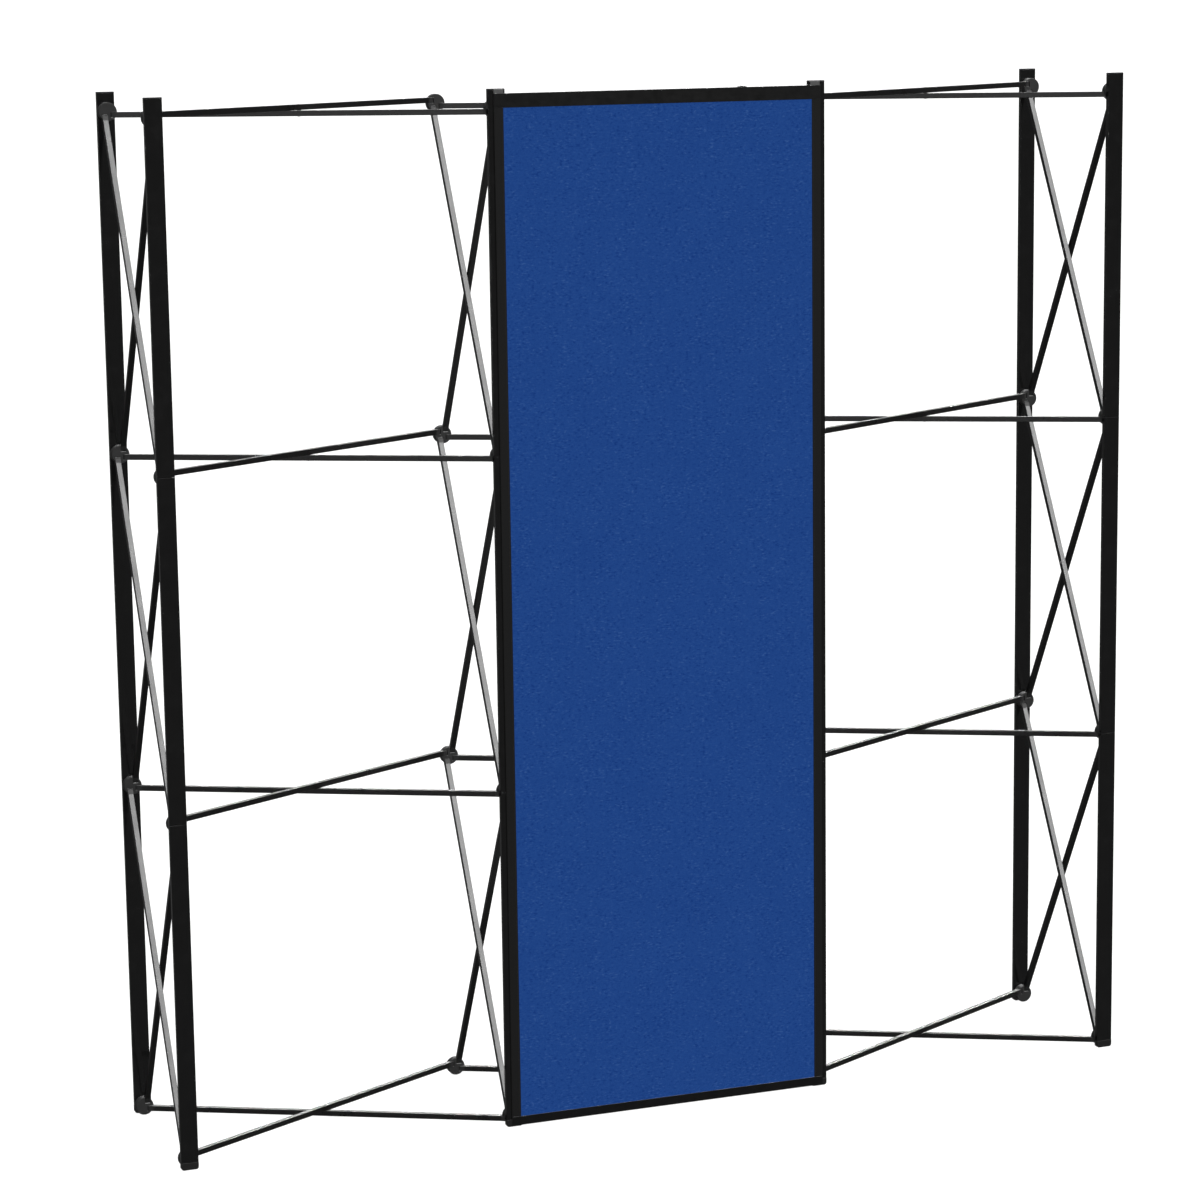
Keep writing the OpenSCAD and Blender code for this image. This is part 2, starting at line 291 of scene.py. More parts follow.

# %% [markdown]
# ## Panel cloth
# The panel's face is a looped nylon that hook tape grips. From a distance it is one even blue.
# Closer, each tuft of loops is about a millimetre across and catches light on one side, and stray
# loops show as small pale or dark flecks, which gather in patches. Voronoi cells make the tufts,
# and a noise paints light and shade on them. The colour is also painted lighter at each tuft's
# centre and darker between tufts, as painted shade. A wide noise is the way the pile is brushed.
# The flecks are the highest and the lowest parts of a third noise, and a fourth says where they
# gather. The tufts also drive the bump, so that painted shade and relief agree. Sheen stands for
# the fuzz.

# %% Looped cloth finish
TUFT, TUFT_SHADE, PILE_DEPTH = 1.1 * MM, 2.6 * MM, 0.5 * MM
BRUSHED_PATCH, FLECK, FLECK_STRETCH, CLUSTER = 90 * MM, 4.6 * MM, (0.6, 1, 1.3), 26 * MM

pile = Finish(
    "panel_cloth_finish", Specular_IOR_Level=0.06, Sheen_Weight=0.05, Sheen_Roughness=0.45
)
tufts = pile.pen.node(
    "ShaderNodeTexVoronoi", {}, {"Vector": pile.place, "Scale": 1 / TUFT}, "Distance"
)
tuft_shade = pile.noise(TUFT_SHADE, detail=3, roughness=0.7)
brushed = pile.noise(BRUSHED_PATCH, detail=4, roughness=0.55)
flecks = pile.noise(FLECK, detail=1.5, roughness=0.5, across=pile.stretched(FLECK_STRETCH))
clusters = pile.noise(CLUSTER, detail=2).ramp((0.38, 0.3), (0.62, 1))
pale_flecks = flecks.ramp((0.57, 0), (0.72, 1)) * clusters
dark_flecks = flecks.ramp((0.29, 1), (0.42, 0)) * clusters
blue_deep, blue_light = (0.0056, 0.038, 0.196, 1), (0.0205, 0.081, 0.297, 1)
blue_fleck = (0.056, 0.135, 0.36, 1)
# Painted shade: the tufts term makes each tuft's centre lighter and the gaps between tufts darker,
# and tuft_shade paints light and shade on the tufts.
pile_tone_and_shade = tuft_shade * 0.8 + brushed * 0.2 - dark_flecks * 0.75 + (0.35 - tufts) * 0.6
cloth_colour = (pale_flecks * 0.42).mix(pile_tone_and_shade.mix(blue_deep, blue_light), blue_fleck)
pile.feed(Base_Color=cloth_colour, Roughness=0.86 + (tuft_shade - 0.5) * 0.2)
relief = (1 - tufts) * 0.6 + tuft_shade * 0.4 + pale_flecks * 0.3
pile.bump(relief, PILE_DEPTH, strength=0.55)
loop_cloth = pile.material
print("cloth finish", loop_cloth.name)

# %% [markdown]
# ## Binding, rails, backing and magnetic strip
# The binding is a flat woven tape whose threads lie about half a millimetre apart. Two waves at
# right angles are joined like the squares of a chessboard, high where either thread lies on top.
# The rails are extruded and have faint lines along their length. The backing is a pale board with a
# little mottling, and the magnetic strip is a ribbed rubber. At a scale of 1, a Wave texture's
# bands are 0.314 of a unit apart.

# %% Finishes for the panel's other parts
WAVE_PERIOD, WEAVE_DEPTH = 0.314, 0.12 * MM
FUZZ, MOTTLE = 1.4 * MM, 14 * MM


def woven(name, thread, dark, light):
    tape = Finish(name, Specular_IOR_Level=0.2, Sheen_Weight=0.05)
    bands = {"Vector": tape.place, "Scale": WAVE_PERIOD / thread}
    warp = tape.pen.node("ShaderNodeTexWave", {"bands_direction": "X"}, bands, "Fac")
    weft = tape.pen.node("ShaderNodeTexWave", {"bands_direction": "Z"}, bands, "Fac")
    threads = warp * weft + (1 - warp) * (1 - weft)
    fuzz = tape.noise(FUZZ, detail=4)
    tape.feed(
        Base_Color=(threads * 0.6 + fuzz * 0.4).mix(grey(dark), grey(light)),
        Roughness=0.7 + (fuzz - 0.5) * 0.25,
    )
    tape.bump(threads * 0.8 + fuzz * 0.2, WEAVE_DEPTH, strength=0.6)
    return tape.material


def lined(name, dark, light, shine, along, rib, depth, specular):
    strip = Finish(name, Specular_IOR_Level=specular)
    lines = strip.noise(rib, detail=2, across=strip.stretched(along))
    mottle = strip.noise(MOTTLE, detail=4)
    strip.feed(
        Base_Color=(lines * 0.5 + mottle * 0.5).mix(grey(dark), grey(light)),
        Roughness=shine + (mottle - 0.5) * 0.2 + (lines - 0.5) * 0.12,
    )
    strip.bump(lines, depth, strength=0.5)
    return strip.material


binding_tape = woven("panel_binding_finish", thread=0.45 * MM, dark=0.0012, light=0.0052)
thread = woven("stitch_thread_finish", thread=0.2 * MM, dark=0.012, light=0.03)
rail_black = lined(
    "panel_rail_finish", dark=0.0018, light=0.0052, shine=0.38,
    along=(0.02, 1, 1), rib=0.7 * MM, depth=0.02 * MM, specular=0.3,
)
board = lined(
    "panel_backing_finish", dark=0.46, light=0.62, shine=0.6,
    along=(1, 1, 1), rib=3 * MM, depth=0.03 * MM, specular=0.4,
)
magnet_rubber = lined(
    "magnet_rubber_finish", dark=0.012, light=0.028, shine=0.66,
    along=(1, 1, 0.02), rib=1.2 * MM, depth=0.15 * MM, specular=0.4,
)
print("panel finishes", binding_tape.name, rail_black.name, board.name, magnet_rubber.name)

# %% [markdown]
# ## Where everything is
# The boxes of the CAD nodes give the hub centres and the faces, so nothing is placed by eye. A hub
# column's box is one disc wide and four levels high, which gives its radius, its column and its
# levels. The back hubs' inner faces and the front hubs' inner faces bound the clear depth.

# %% Hub centres and faces
COLUMNS, LEVELS = (1, 2, 3, 4), (1, 2, 3, 4)
hub_low, hub_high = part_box("front_hubs_1")
hub_radius = (hub_high.x - hub_low.x) / 2
level_step = (hub_high.z - hub_low.z - 2 * hub_radius) / (len(LEVELS) - 1)
level_z = {level: hub_low.z + hub_radius + (level - 1) * level_step for level in LEVELS}
column_x = {}
for column in COLUMNS:
    low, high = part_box(f"front_hubs_{column}")
    column_x[column] = (low.x + high.x) / 2
front_outer_y, front_inner_y = hub_low.y, hub_high.y
back_low, back_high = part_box("back_hubs_1")
back_inner_y, back_outer_y = back_low.y, back_high.y
mid_y = (front_inner_y + back_inner_y) / 2
print("columns", column_x, "levels", level_z, "clear depth", back_inner_y - front_inner_y)


# %% [markdown]
# ## Making and handing over a piece
# Every shape is made as a bmesh and then becomes one object at the origin, with its place in its
# mesh. Weighted normals keep the flat faces flat in the shading while the narrow rounded edges turn
# the light. The last lines of the helper hang the piece on the body it rides on and hide the CAD
# node it stands for.

# %% Helpers for shapes
SAME_POINT = 1e-6
FLAT_WITHIN, CREASE = radians(1), radians(50)


def copies(shape, matrices):
    """One bmesh with the shape repeated at each matrix."""
    single = bpy.data.meshes.new("single")
    shape.to_mesh(single)
    shape.free()
    many = bmesh.new()
    for matrix in matrices:
        before = len(many.verts)
        many.from_mesh(single)
        many.verts.ensure_lookup_table()
        bmesh.ops.transform(many, matrix=matrix, verts=many.verts[before:])
    bpy.data.meshes.remove(single)
    return many


def round_edges(shape, width, segments=2, sharper_than=40):
    """Rounds every edge whose faces turn by more than an angle."""
    limit = radians(sharper_than)
    sharp = [e for e in shape.edges if len(e.link_faces) == 2 and e.calc_face_angle() > limit]
    bmesh.ops.bevel(
        shape, geom=sharp, offset=width, offset_type="OFFSET", affect="EDGES", segments=segments,
        profile=0.5, material=-1, clamp_overlap=False,
    )


def merged_copy(node):
    """A CAD node's loose triangles, joined into whole faces, as a new bmesh."""
    shape = bmesh.new()
    shape.from_mesh(nodes[node].data)
    bmesh.ops.remove_doubles(shape, verts=shape.verts, dist=SAME_POINT)
    bmesh.ops.dissolve_limit(
        shape, angle_limit=FLAT_WITHIN, verts=shape.verts, edges=shape.edges,
        use_dissolve_boundaries=False,
    )
    return shape


def piece(name, shape, material, body, node):
    """Turns a bmesh into a finished object that rides on a body in place of a CAD node."""
    for face in shape.faces:
        face.smooth = True
    mesh = bpy.data.meshes.new(name)
    shape.to_mesh(mesh)
    shape.free()
    mesh.set_sharp_from_angle(angle=CREASE)
    mesh.materials.append(material)
    made = bpy.data.objects.new(name, mesh)
    scene.collection.objects.link(made)
    normals = made.modifiers.new("flat_faces", "WEIGHTED_NORMAL")
    normals.keep_sharp = True
    normals.weight = 100
    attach(made, body)
    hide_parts(node)
    return made


def faces_of(made):
    return len(made.data.polygons)


# %% [markdown]
# ## Hubs
# Each hub is a moulded disc with one slot for each neighbour. The slots form a pinwheel, so that up
# to four struts pass the centre without touching. The CAD shape is right, so a merged copy of it is
# used, and a small rounding is put on every sharp edge. Without that rounding no edge would catch
# the light, and the disc would look cut from card.

# %% Hubs
HUB_ROUNDING = 0.3 * MM

for side in ("front", "back"):
    for column in COLUMNS:
        node = f"{side}_hubs_{column}"
        shape = merged_copy(node)
        round_edges(shape, HUB_ROUNDING)
        made = piece(f"moulded_{node}", shape, hub_plastic, "frame", node)
print("hub column faces", faces_of(made))

# %% [markdown]
# ## Struts
# A strut runs from one hinge pin to another. Flat struts cross in plan and upright struts cross in
# the depth of the wall, and each pair passes in two lanes, one tube and a washer apart. Two
# functions give such a pair, and each strut in it is its two pins and the axis of those pins. The
# tubes and their end plugs are placed from the list of all pairs.

# %% The list of struts
PIN_OFFSET, PIN_DEPTH = 12 * MM, 5 * MM
TUBE_WIDTH, TUBE_WALL, TUBE_SETBACK = 12 * MM, 1 * MM, 9 * MM
WASHER_THICK = 1 * MM
LANE = (TUBE_WIDTH + WASHER_THICK) / 2
front_pin_y, back_pin_y = front_inner_y - PIN_DEPTH, back_inner_y + PIN_DEPTH


def flat_struts(level, bay):
    """Two struts that cross in plan, each as its first pin, its last pin and its pins' axis."""
    start, end = column_x[bay] + PIN_OFFSET, column_x[bay + 1] - PIN_OFFSET
    upper, lower, axis = level_z[level] + LANE, level_z[level] - LANE, Vector((0, 0, 1))
    return [
        (Vector((start, front_pin_y, upper)), Vector((end, back_pin_y, upper)), axis),
        (Vector((start, back_pin_y, lower)), Vector((end, front_pin_y, lower)), axis),
    ]


def upright_struts(column, row):
    """Two struts that cross in the depth of the wall, written in the same way."""
    start, end = level_z[row] + PIN_OFFSET, level_z[row + 1] - PIN_OFFSET
    x_less, x_more, axis = column_x[column] - LANE, column_x[column] + LANE, Vector((1, 0, 0))
    return [
        (Vector((x_less, front_pin_y, start)), Vector((x_less, back_pin_y, end)), axis),
        (Vector((x_more, back_pin_y, start)), Vector((x_more, front_pin_y, end)), axis),
    ]


strut_sets = {}
for level in LEVELS:
    for bay in COLUMNS[:-1]:
        strut_sets[f"flat_struts_level_{level}_bay_{bay}"] = flat_struts(level, bay)
for column in COLUMNS:
    for row in LEVELS[:-1]:
        strut_sets[f"upright_struts_column_{column}_row_{row}"] = upright_struts(column, row)


def strut_matrix(start, end, pin_axis):
    """Puts X along the strut from its first pin, and Z along the pin."""
    along = (end - start).normalized()
    across = pin_axis.cross(along)
    return Matrix.Translation(start) @ Matrix((along, across, pin_axis)).transposed().to_4x4()


first = strut_sets["flat_struts_level_1_bay_1"][0]
print("struts", 2 * len(strut_sets), "pin to pin", round((first[1] - first[0]).length, 4))


# %% [markdown]
# A tube is a square with rounded corners, pulled along and given a wall. The square starts as a
# four-sided circle, because bmesh has no square, and its corners are bevelled as vertices while it
# is still flat. Solidify then adds the inner wall with one even thickness, and the cut ends stay
# open, as they are on the real tube behind its plug.

# %% Strut tubes
TUBE_CORNER, CUT_ROUNDING = 0.9 * MM, 0.15 * MM
CORNER_STEPS = 4


def new_verts(pulled):
    """The vertices in what an extrude operator gives back."""
    return [v for v in pulled if isinstance(v, bmesh.types.BMVert)]


def hollow(width, depth, corner, wall, length):
    """A tube along +Z from the origin, with rounded long edges."""
    shape = bmesh.new()
    bmesh.ops.create_circle(shape, cap_ends=True, segments=4, radius=sqrt(0.5))
    to_square = Matrix.Rotation(pi / 4, 3, "Z")
    bmesh.ops.rotate(shape, verts=shape.verts, cent=(0, 0, 0), matrix=to_square)
    bmesh.ops.scale(shape, vec=(width, depth, 1), verts=shape.verts)
    bmesh.ops.bevel(
        shape, geom=shape.verts[:], offset=corner, offset_type="OFFSET", affect="VERTICES",
        segments=CORNER_STEPS, profile=0.5, material=-1,
    )
    caps = shape.faces[:]
    pulled = bmesh.ops.extrude_face_region(shape, geom=caps, use_keep_orig=True)["geom"]
    bmesh.ops.translate(shape, vec=(0, 0, length), verts=new_verts(pulled))
    caps += [f for f in pulled if isinstance(f, bmesh.types.BMFace)]
    bmesh.ops.delete(shape, geom=caps, context="FACES_ONLY")
    bmesh.ops.recalc_face_normals(shape, faces=shape.faces)
    middle = Vector((0, 0, length / 2))
    if sum(f.normal.dot(f.calc_center_median() - middle) for f in shape.faces) < 0:
        bmesh.ops.reverse_faces(shape, faces=shape.faces)
    bmesh.ops.solidify(shape, geom=shape.faces[:], thickness=wall)
    return shape


def strut_tube(length):
    shape = hollow(TUBE_WIDTH, TUBE_WIDTH, TUBE_CORNER, TUBE_WALL, length - 2 * TUBE_SETBACK)
    round_edges(shape, CUT_ROUNDING, segments=1, sharper_than=60)
    turn = Matrix.Translation((TUBE_SETBACK, 0, 0)) @ Matrix.Rotation(pi / 2, 4, "Y")
    bmesh.ops.transform(shape, matrix=turn, verts=shape.verts)
    return shape


for node, struts in strut_sets.items():
    length = (struts[0][1] - struts[0][0]).length
    shape = copies(strut_tube(length), [strut_matrix(*strut) for strut in struts])
    made = piece(f"tubes_{node}", shape, strut_black, "frame", node)
print("faces in a pair of tubes", faces_of(made))

# %% [markdown]
# ## End plugs, rivets and washers
# Each tube ends in a moulded eye that turns on a pin inside its hub slot. It starts as a cube. The
# face towards the tube is inset and pulled out to make the part pressed inside, and the two edges
# at the other end are bevelled by almost half the width, which makes the round eye.

# %% Strut end plugs
PLUG_GRIP, PLUG_FIT, PLUG_ROUNDING = 16 * MM, 0.05 * MM, 0.35 * MM
EYE_SHARE, EYE_STEPS = 0.98, 8


def end_plug():
    half = TUBE_WIDTH / 2
    shape = bmesh.new()
    bmesh.ops.create_cube(shape, size=1)
    bmesh.ops.scale(shape, vec=(TUBE_SETBACK + half, TUBE_WIDTH, TUBE_WIDTH), verts=shape.verts)
    bmesh.ops.translate(shape, vec=((TUBE_SETBACK - half) / 2, 0, 0), verts=shape.verts)
    mouth = [f for f in shape.faces if f.normal.x > 0.9]
    bmesh.ops.inset_region(shape, faces=mouth, thickness=TUBE_WALL + PLUG_FIT)
    pulled = bmesh.ops.extrude_face_region(shape, geom=mouth)["geom"]
    bmesh.ops.translate(shape, vec=(PLUG_GRIP, 0, 0), verts=new_verts(pulled))
    bmesh.ops.delete(shape, geom=mouth, context="FACES_ONLY")
    ends = [e for e in shape.edges if all(v.co.x < -half * 0.9 for v in e.verts)]
    eye_edges = [e for e in ends if abs(e.verts[0].co.z - e.verts[1].co.z) > half]
    bmesh.ops.bevel(
        shape, geom=eye_edges, offset=half * EYE_SHARE, offset_type="OFFSET", affect="EDGES",
        segments=EYE_STEPS, profile=0.5, material=-1,
    )
    round_edges(shape, PLUG_ROUNDING)
    return shape


plug_places = []
for struts in strut_sets.values():
    for start, end, pin_axis in struts:
        plug_places += [strut_matrix(start, end, pin_axis), strut_matrix(end, start, pin_axis)]
plugs = copies(end_plug(), plug_places)
made = piece("moulded_end_plugs", plugs, hub_plastic, "frame", "strut_end_plugs")
print("end plugs", len(plug_places), "faces", faces_of(made))


# %% [markdown]
# A rivet, a washer and a magnet are turned shapes. Half of the outline is drawn in the XZ plane
# and spun round Z once. use_merge joins the last step to the first, and remove_doubles closes the
# poles.

# %% Turned shapes
RIVET_SHANK, RIVET_HEAD, RIVET_RISE = 1.6 * MM, 3.2 * MM, 1.2 * MM
WASHER_HOLE, WASHER_RIM, WASHER_EDGE = 1.7 * MM, 4.8 * MM, 0.2 * MM
RIVET_STEPS, WASHER_STEPS, MAGNET_STEPS = 20, 24, 40


def turned(outline, steps):
    """Spins a closed or pole-to-pole outline of (radius, height) round Z."""
    shape = bmesh.new()
    points = [shape.verts.new((radius, 0, height)) for radius, height in outline]
    for one, other in zip(points, points[1:]):
        shape.edges.new((one, other))
    outline_parts = shape.verts[:] + shape.edges[:]
    bmesh.ops.spin(
        shape, geom=outline_parts, cent=(0, 0, 0), axis=(0, 0, 1), dvec=(0, 0, 0), angle=2 * pi,
        steps=steps, use_merge=True, use_duplicate=False,
    )
    bmesh.ops.remove_doubles(shape, verts=shape.verts, dist=SAME_POINT)
    bmesh.ops.recalc_face_normals(shape, faces=shape.faces)
    return shape


def rivet():
    grip = TUBE_WIDTH + WASHER_THICK / 2
    rounds = (pi / 3, pi / 5, pi / 12, 0)
    dome = [(RIVET_HEAD * cos(a), grip + RIVET_RISE * sin(a)) for a in rounds]
    upper = [(0, grip + RIVET_RISE), *dome, (RIVET_SHANK, grip)]
    lower = [(radius, -height) for radius, height in reversed(upper)]
    return turned(upper + lower, RIVET_STEPS)


def washer():
    half, rim = WASHER_THICK / 2, WASHER_RIM - WASHER_EDGE
    below = [(WASHER_HOLE, -half), (rim, -half), (WASHER_RIM, WASHER_EDGE - half)]
    above = [(WASHER_RIM, half - WASHER_EDGE), (rim, half), (WASHER_HOLE, half)]
    return turned([*below, *above, below[0]], WASHER_STEPS)


crossings = []
for level in LEVELS:
    for bay in COLUMNS[:-1]:
        bay_x = (column_x[bay] + column_x[bay + 1]) / 2
        crossings.append(Matrix.Translation((bay_x, mid_y, level_z[level])))
for column in COLUMNS:
    for row in LEVELS[:-1]:
        row_z = (level_z[row] + level_z[row + 1]) / 2
        to_crossing = Matrix.Translation((column_x[column], mid_y, row_z))
        crossings.append(to_crossing @ Matrix.Rotation(pi / 2, 4, "Y"))

rivets = copies(rivet(), crossings)
piece("domed_crossing_rivets", rivets, zinc, "frame", "crossing_rivets")
washers = copies(washer(), crossings)
made = piece(
    "moulded_crossing_washers", washers, cap_plastic, "frame", "crossing_washers"
)
print("crossings", len(crossings), "washer faces", faces_of(made))

# %% [markdown]
# The magnets are nickel-plated discs pressed into the outer faces of the hubs. The front ones lie
# behind the bars, and the back ones show wherever there is no bar. A small chamfer round the rim is
# what makes a pressed disc read as a separate piece.

# %% Magnets and hinge pins
MAGNET_RADIUS, MAGNET_THICK, MAGNET_EDGE = 8 * MM, 4 * MM, 0.4 * MM


def magnet():
    """A disc whose outer face is at the origin and whose body goes along +Z."""
    chamfer = [(MAGNET_RADIUS - MAGNET_EDGE, 0), (MAGNET_RADIUS, MAGNET_EDGE)]
    outline = [(0, 0), *chamfer, (MAGNET_RADIUS, MAGNET_THICK), (0, MAGNET_THICK)]
    return turned(outline, MAGNET_STEPS)


magnet_places = []
for column in COLUMNS:
    for level in LEVELS:
        for y, turn in ((front_outer_y, -pi / 2), (back_outer_y, pi / 2)):
            to_face = Matrix.Translation((column_x[column], y, level_z[level]))
            magnet_places.append(to_face @ Matrix.Rotation(turn, 4, "X"))
magnets = copies(magnet(), magnet_places)
made = piece("nickel_hub_magnets", magnets, nickel, "frame", "hub_magnets")
nodes["hub_hinge_pins"].data.materials.clear()
nodes["hub_hinge_pins"].data.materials.append(zinc)
print("magnets", len(magnet_places), "faces", faces_of(made))

# %% [markdown]
# ## Bars
# A bar is three lengths of hollow strip that meet at the second and third hub levels, where magnets
# hold both ends. The seam is a gap of 0.4 mm between two slightly rounded ends. The ends are
# bevelled after the wall is made, so the bevel also softens the rim inside.

# %% Bars
SEAM, BAR_WALL, BAR_EDGE = 0.4 * MM, 1 * MM, 1.5 * MM
END_ROUNDING, CAP_ROUNDING = 0.2 * MM, 0.4 * MM
bar_names = [f"front_bar_{column}" for column in COLUMNS] + ["back_bar_1", "back_bar_4"]

for node in bar_names:
    low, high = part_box(node)
    centre = (low + high) / 2
    cuts = [low.z, level_z[2], level_z[3], high.z]
    shape = bmesh.new()
    for start, end in zip(cuts, cuts[1:]):
        bottom = start + (SEAM / 2 if start > low.z else 0)
        top = end - (SEAM / 2 if end < high.z else 0)
        section = hollow(high.x - low.x, high.y - low.y, BAR_EDGE, BAR_WALL, top - bottom)
        round_edges(section, END_ROUNDING, segments=2, sharper_than=60)
        bmesh.ops.translate(section, vec=(centre.x, centre.y, bottom), verts=section.verts)
        length_mesh = bpy.data.meshes.new("length")
        section.to_mesh(length_mesh)
        section.free()
        shape.from_mesh(length_mesh)
        bpy.data.meshes.remove(length_mesh)
    made = piece(f"gloss_{node}", shape, bar_gloss, node, node)

    fittings = merged_copy(f"{node}_fittings")
    round_edges(fittings, CAP_ROUNDING, segments=3)
    piece(f"moulded_{node}_fittings", fittings, cap_plastic, node, f"{node}_fittings")
print("faces in a bar", faces_of(made))

# %% [markdown]
# ## Panel cloth
# The cloth is stretched over a thin backing and held at its four edges. It is nearly flat, but a
# real stretched face is never ruled: it has shallow waves that die out towards the edges. A grid is
# made, stood up, and moved by a few slow sines, and Solidify gives it its thickness. A cloth
# simulation would add nothing to a sheet under this much tension, so the waves are set directly.

# %% Stretched cloth
cloth_low, cloth_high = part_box("panel_fabric")
cloth_width, cloth_height = cloth_high.x - cloth_low.x, cloth_high.z - cloth_low.z
cloth_thick = cloth_high.y - cloth_low.y
WAVE_HEIGHT = 0.45 * MM
CELLS_ACROSS, CELLS_UP = 48, 144


def slow_wave(across, along):
    """Height of the cloth's waves, 0 at all four edges; across and along run from 0 to 1.

    The factors of the sines are uneven, so that the waves don't repeat.
    """
    held = sin(pi * across) ** 0.5 * sin(pi * along) ** 0.5
    drift = sin(7.3 * across + 2.1 * along + 0.4) * sin(5.1 * along - 2.7 * across + 1.1)
    pull = sin(15.7 * along + 3 * sin(4.2 * across)) * 0.35
    return held * (drift + pull) / 1.35


shape = bmesh.new()
bmesh.ops.create_grid(shape, x_segments=CELLS_ACROSS, y_segments=CELLS_UP, size=0.5)
bmesh.ops.scale(shape, vec=(cloth_width, cloth_height, 1), verts=shape.verts)
middle = (cloth_low + cloth_high) / 2
to_panel = Matrix.Translation((middle.x, cloth_low.y, middle.z))
bmesh.ops.transform(shape, matrix=to_panel @ Matrix.Rotation(pi / 2, 4, "X"), verts=shape.verts)
for vert in shape.verts:
    across = (vert.co.x - cloth_low.x) / cloth_width
    along = (vert.co.z - cloth_low.z) / cloth_height
    vert.co.y -= WAVE_HEIGHT * max(0.0, slow_wave(min(max(across, 0), 1), min(max(along, 0), 1)))
cloth = piece("stretched_panel_cloth", shape, loop_cloth, "panel", "panel_fabric")
cloth.modifiers.remove(cloth.modifiers["flat_faces"])
thickness = cloth.modifiers.new("thickness", "SOLIDIFY")
thickness.thickness = cloth_thick
thickness.offset = -1
print("cloth", round(cloth_width, 4), "by", round(cloth_height, 4))

# %% [markdown]
# ## Panel binding and its stitches
# The binding is a woven tape folded over each long edge of the panel, so it hides the layers from
# the side. In section it is an L: a few points, an edge pulled up the panel's height, a rounded
# fold, and a wall. A row of lockstitches runs along its inner edge. Each stitch is a small bevelled
# block of a few dozen faces, because there are more than a thousand of them.

# %% Binding and stitches
binding_low, binding_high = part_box("panel_side_binding")
backing_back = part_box("panel_backing")[1].y
rail_low, rail_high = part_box("panel_top_rail")
panel_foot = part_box("panel_bottom_rail")[0].z
BINDING_WIDTH, TAPE_ROUNDING = 20 * MM, 0.2 * MM
tape_thick = binding_high.y - binding_low.y
tape_bottom, tape_top = binding_low.z, binding_high.z


def raised_strip(shape, path, bottom, top):
    """A strip of tape that follows a path of (x, y) points, pulled up from bottom to top."""
    points = [shape.verts.new((x, y, bottom)) for x, y in path]
    edges = [shape.edges.new(pair) for pair in zip(points, points[1:])]
    pulled = bmesh.ops.extrude_edge_only(shape, edges=edges)["geom"]
    bmesh.ops.translate(shape, vec=(0, 0, top - bottom), verts=new_verts(pulled))
    return [f for f in pulled if isinstance(f, bmesh.types.BMFace)]


tape_shape = bmesh.new()
for side, outer in ((-1, binding_low.x), (1, binding_high.x)):
    inner = outer - side * BINDING_WIDTH
    folded = [(inner, binding_high.y), (outer, binding_high.y), (outer, backing_back)]
    faces = raised_strip(tape_shape, folded, tape_bottom, tape_top)
    over_rail = [(outer, rail_low.y), (outer, backing_back)]
    faces += raised_strip(tape_shape, over_rail, tape_top, rail_high.z)
    faces += raised_strip(tape_shape, over_rail, panel_foot, tape_bottom)
    for face in faces:
        face.normal_update()
        if face.normal.dot(Vector((side, -1, 0))) < 0:
            face.normal_flip()
for face in tape_shape.faces:
    face.normal_update()
bmesh.ops.solidify(tape_shape, geom=tape_shape.faces[:], thickness=-tape_thick)
round_edges(tape_shape, TAPE_ROUNDING, segments=2)
binding = piece(
    "woven_side_binding", tape_shape, binding_tape, "panel", "panel_side_binding"
)

STITCH_PITCH, STITCH_LENGTH, STITCH_INSET = 4.2 * MM, 3.2 * MM, 3 * MM
THREAD, THREAD_BEVEL, THREAD_PROUD = 0.45 * MM, 0.28, 0.1
stitch = bmesh.new()
bmesh.ops.create_cube(stitch, size=1)
bmesh.ops.scale(stitch, vec=(THREAD, THREAD, STITCH_LENGTH), verts=stitch.verts)
bmesh.ops.bevel(
    stitch, geom=stitch.edges[:], offset=THREAD * THREAD_BEVEL, offset_type="OFFSET",
    affect="EDGES", segments=1, profile=0.5, material=-1,
)
stitch_places = []
sewn = tape_top - tape_bottom - 2 * STITCH_PITCH
left_row = binding_low.x + BINDING_WIDTH - STITCH_INSET
right_row = binding_high.x - BINDING_WIDTH + STITCH_INSET
for x in (left_row, right_row):
    for i in range(int(sewn / STITCH_PITCH)):
        z = tape_bottom + STITCH_PITCH * (i + 1.5)
        stitch_places.append(Matrix.Translation((x, binding_low.y - THREAD * THREAD_PROUD, z)))
sewn_rows = copies(stitch, stitch_places)
stitches = piece(
    "binding_stitches", sewn_rows, thread, "panel", "panel_side_binding"
)
print("stitches", len(stitch_places), "binding faces", faces_of(binding))

# %% [markdown]
# ## Rails, backing, magnetic strips and hanger tabs
# These are plain sections whose CAD shapes are right. Each gets a merged copy with its edges
# rounded by an amount that suits how it is made: more on an extruded rail, less on a cut board.

# %% The panel's other parts
panel_parts = [
    ("panel_top_rail", "extruded_top_rail", rail_black, "panel_rail", 0.4 * MM),
    ("panel_bottom_rail", "extruded_bottom_rail", rail_black, "panel_rail", 0.4 * MM),
    ("panel_backing", "backing_board", board, "panel_backing", 0.15 * MM),
    ("panel_magnet_strips", "rubber_magnet_strips", magnet_rubber, "magnet_rubber", 0.25 * MM),
    ("panel_hanger_tabs", "pressed_hanger_tabs", spring_steel, "tab_steel", 0.3 * MM),
]
for node, name, material, slot, rounding in panel_parts:
    shape = merged_copy(node)
    round_edges(shape, rounding)
    piece(name, shape, material, "panel", node)

# %% [markdown]
# ## Floor
# The floor is one very large pale disc, so that its far edge meets the pale sky near the horizon
# and no line shows. It looks pale to the camera, but it lights the black finishes only weakly, as a
# studio floor does when the lamps are shaded from it. The Light Path node tells the two cases
# apart.

# %% Floor
FLOOR_RADIUS, FLOOR_STEPS = 3000, 96
FLOOR_LIT, FLOOR_SEEN = 0.08, 0.92

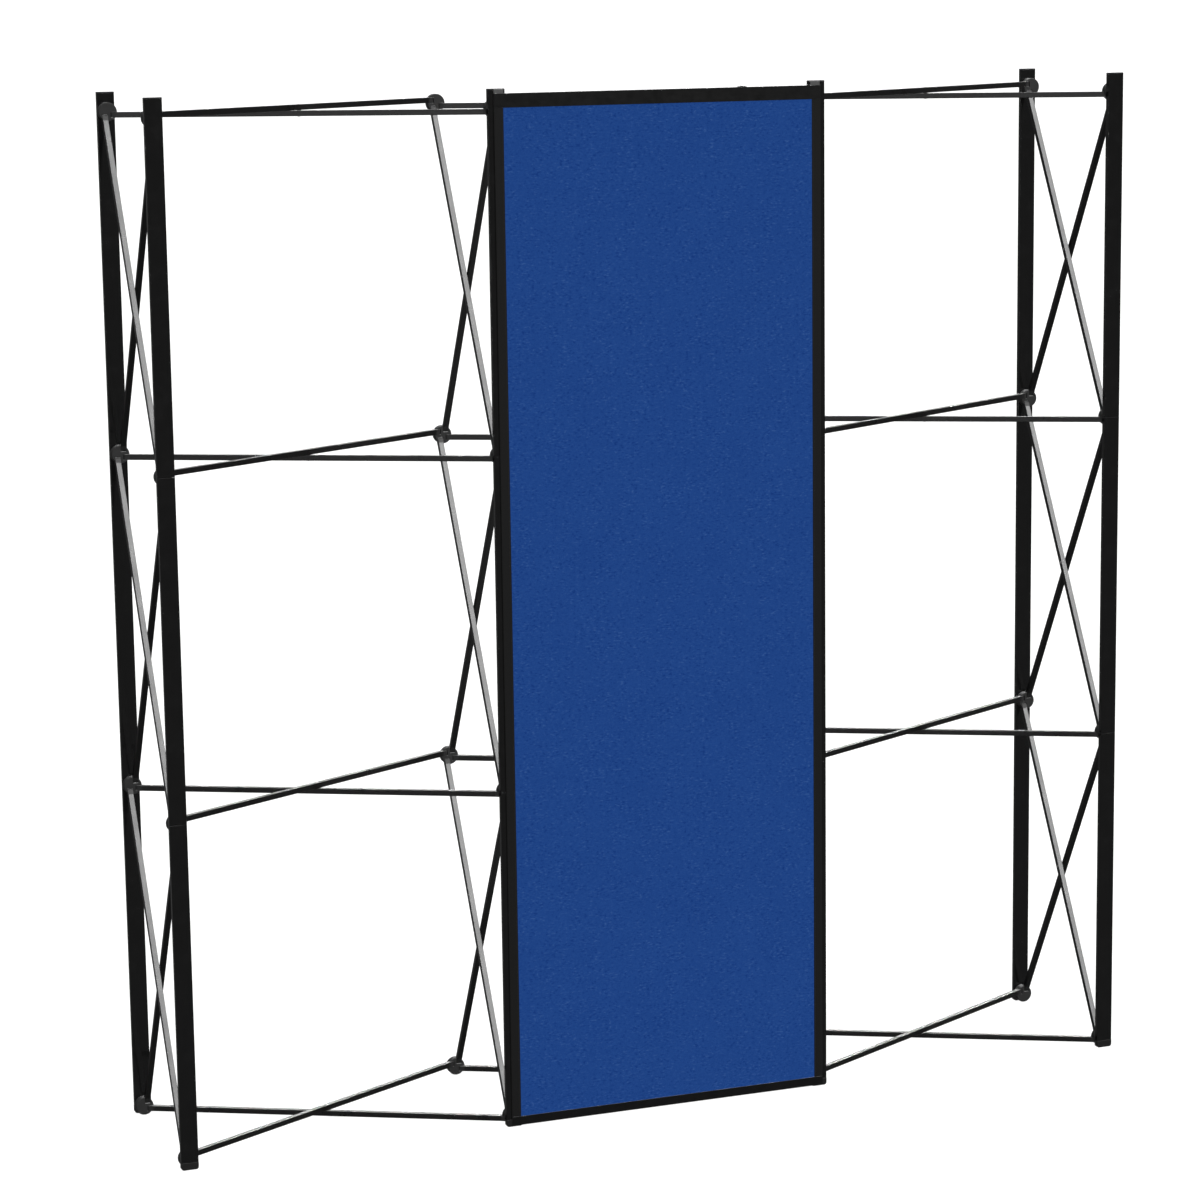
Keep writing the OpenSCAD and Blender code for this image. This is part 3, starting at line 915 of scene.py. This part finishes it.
shape = bmesh.new()
bmesh.ops.create_circle(shape, cap_ends=True, segments=FLOOR_STEPS, radius=FLOOR_RADIUS)
floor_mesh = bpy.data.meshes.new("studio_floor")
shape.to_mesh(floor_mesh)
shape.free()
floor = bpy.data.objects.new("studio_floor", floor_mesh)
scene.collection.objects.link(floor)

pale = Finish("studio_floor_finish", Roughness=0.9, Specular_IOR_Level=0.0)
seen = pale.pen.node("ShaderNodeLightPath", output="Is Camera Ray")
pale.feed(Base_Color=seen.mix(grey(FLOOR_LIT), grey(FLOOR_SEEN)))
floor_mesh.materials.append(pale.material)
print("floor radius", FLOOR_RADIUS)

# %% [markdown]
# ## Light
# One large soft lamp stands in front and to the right, at about forty degrees. A sun lamp with a
# wide angle is such a softbox very far away, so every column gets the same light, and the upper
# faces of the leaning struts mirror it as one pale band. A weak fill on the left lifts the flat
# struts, and a lamp behind shapes the wall's back. The sky is pale to the camera. To the
# surfaces it is dim near the horizon and brighter overhead, which keeps the black faces black.

# %% Lamp and sky
def soft_lamp(name, towards, energy, width):
    """A softbox very far away in one direction. It casts no shadow, so no bar darkens another."""
    lamp = bpy.data.objects.new(name, bpy.data.lights.new(name, "SUN"))
    lamp.data.energy = energy
    lamp.data.angle = radians(width)
    lamp.data.use_shadow = False
    lamp.data.cycles.use_multiple_importance_sampling = False
    lamp.rotation_euler = Vector(towards).to_track_quat("Z", "Y").to_euler()
    scene.collection.objects.link(lamp)
    return lamp


key = soft_lamp("key_softbox", towards=(0.35, -0.65, 0.67), energy=3.1, width=34)
fill = soft_lamp("fill_softbox", towards=(-0.56, -0.8, 0.2), energy=0.4, width=40)
back = soft_lamp("back_softbox", towards=(0.35, 0.75, 0.56), energy=1.5, width=40)

world = bpy.data.worlds.new("studio")
scene.world = world
world.use_nodes = True
sky = Wire(world.node_tree)
view_line = sky.node("ShaderNodeTexCoord", output="Generated")
height = sky.node("ShaderNodeSeparateXYZ", {}, {0: view_line}, "Z")
dome = height.ramp((0.0, 0.1), (0.35, 0.25), (1.0, 0.7))
is_seen = sky.node("ShaderNodeLightPath", output="Is Camera Ray")
background = world.node_tree.nodes["Background"]
world.node_tree.links.new(is_seen.mix(dome, grey(1.0)).socket, background.inputs["Color"])
scene.view_settings.view_transform = "Standard"
print("lamps", key.name, fill.name, back.name)
